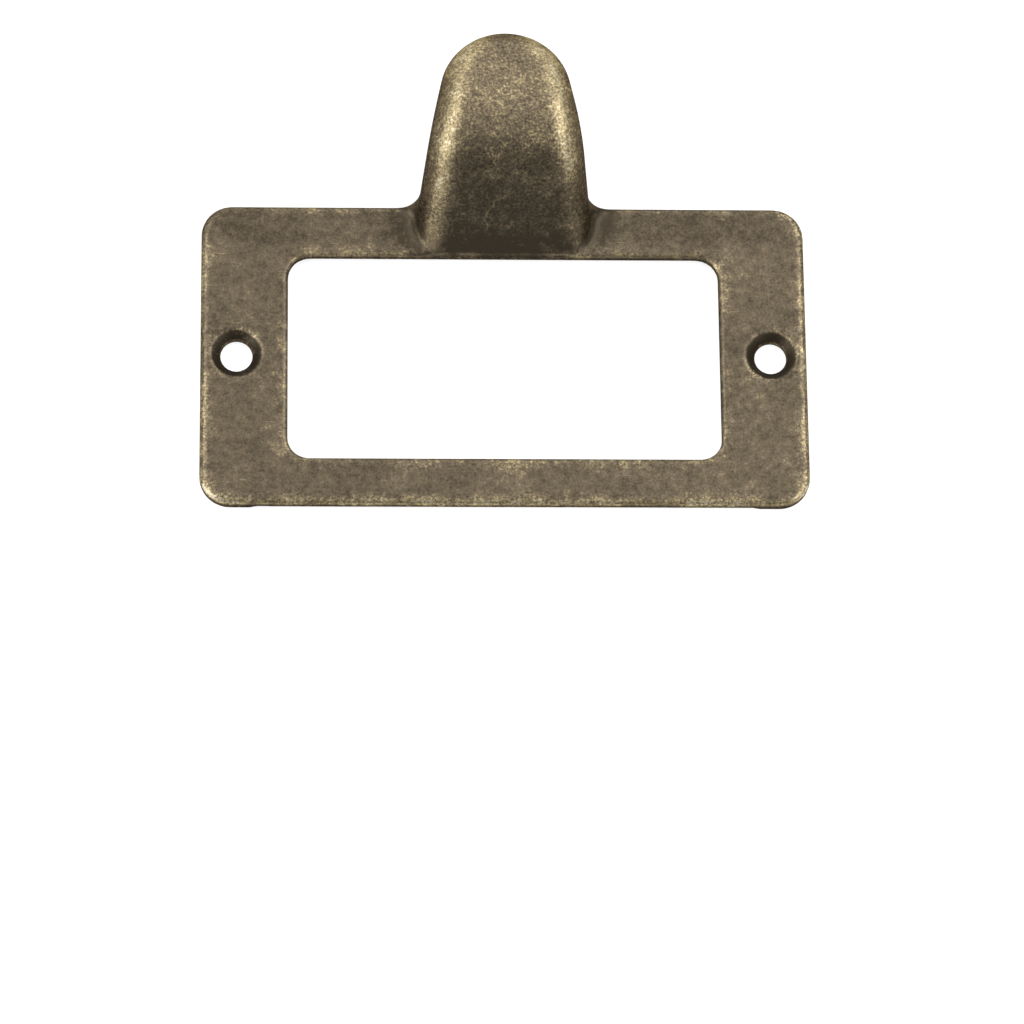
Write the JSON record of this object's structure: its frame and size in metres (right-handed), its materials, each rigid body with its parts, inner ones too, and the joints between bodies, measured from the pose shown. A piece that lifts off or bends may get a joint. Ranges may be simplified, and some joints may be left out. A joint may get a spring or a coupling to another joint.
{
  "type": "label frame pull",
  "caption": "Cast label frame pull: a flat rectangular frame with a window for a card, countersunk screw holes in its side rails and a hollow hood for the finger.",
  "frame": {"origin": "on the back face, midway between the screw holes", "axes": "+X along the frame's long side, +Y towards the hood, +Z out of the drawer front"},
  "size_m": [0.083, 0.0638, 0.0185],
  "materials": {
    "antique_brass": "antique brass: satin, browned and mottled, rubbed bright on the edges"
  },
  "bodies": {
    "root": {"label_frame_pull": "antique_brass"}
  },
  "joints": []
}
